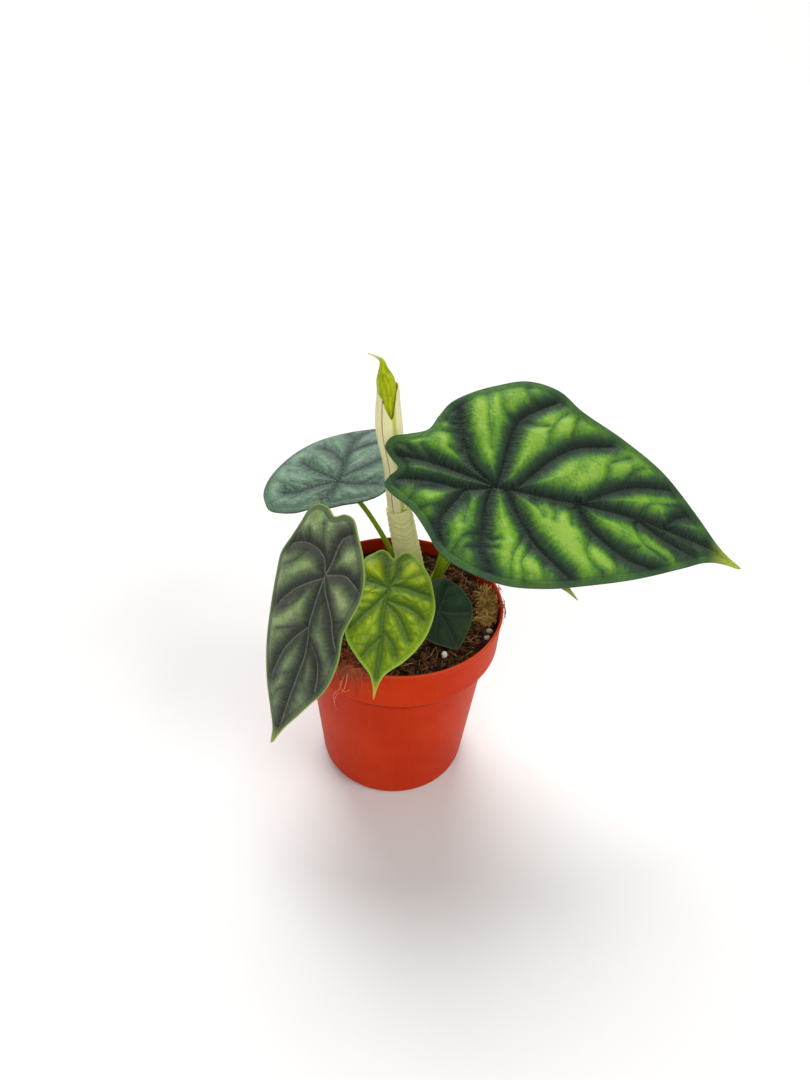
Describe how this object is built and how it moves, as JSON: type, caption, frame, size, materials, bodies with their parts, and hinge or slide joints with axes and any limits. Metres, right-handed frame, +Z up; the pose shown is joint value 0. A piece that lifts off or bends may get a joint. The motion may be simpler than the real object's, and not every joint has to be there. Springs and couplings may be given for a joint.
{
  "type": "potted dragon scale alocasia",
  "caption": "Young foliage plant in a round terracotta-coloured nursery pot: quilted shield-shaped green leaves on slim stalks, with a rolled new leaf standing upright.",
  "frame": {"origin": "middle of the flat underside of the pot's base", "axes": "+Z up along the pot's axis; -Y towards the viewer of the reference view; +X to the right, the side that the largest leaf points to"},
  "size_m": [0.2255, 0.1761, 0.2253],
  "materials": {
    "pot": "injection-moulded terracotta-orange plastic with a soft sheen and a paler lip",
    "soil": "damp dark brown peat and coir with fibres and a few white perlite grains",
    "rhizome": "brownish green living stem with leaf scars",
    "petiole": "smooth yellow-green leaf stalk, slightly glossy",
    "leaf_bright": "quilted leathery blade, bright green cells between broad dark bluish-green veins, satin",
    "leaf_grey": "quilted leathery blade, grey-green cells and purplish-grey veins, satin",
    "leaf_bluish": "quilted leathery blade, silvery blue-green with a glancing sheen",
    "leaf_young": "soft lime-green young blade, glossy, with a lighter rim",
    "leaf_dark": "smooth dark green blade, satin",
    "sheath": "papery cream sheath, wrinkled, yellowish at its foot",
    "rolled_leaf": "pale cream underside of the rolled new leaf with fine veins",
    "leaf_heart": "fresh yellow-green face of the new leaf",
    "dry_stalk": "dry straw-coloured stub of an old stalk"
  },
  "bodies": {
    "root": {"pot": "pot", "soil": "soil", "rhizome": "rhizome", "petiole_big": "petiole", "petiole_front": "petiole", "petiole_back": "petiole", "petiole_young": "petiole", "petiole_small": "petiole", "petiole_hidden": "petiole", "blade_big": "leaf_bright", "blade_front": "leaf_grey", "blade_back": "leaf_bluish", "blade_young": "leaf_young", "blade_small": "leaf_dark", "blade_hidden": "leaf_bright", "spear_sheath": "sheath", "spear_roll": "rolled_leaf", "spear_heart": "leaf_heart", "old_stalk": "dry_stalk"}
  },
  "joints": []
}
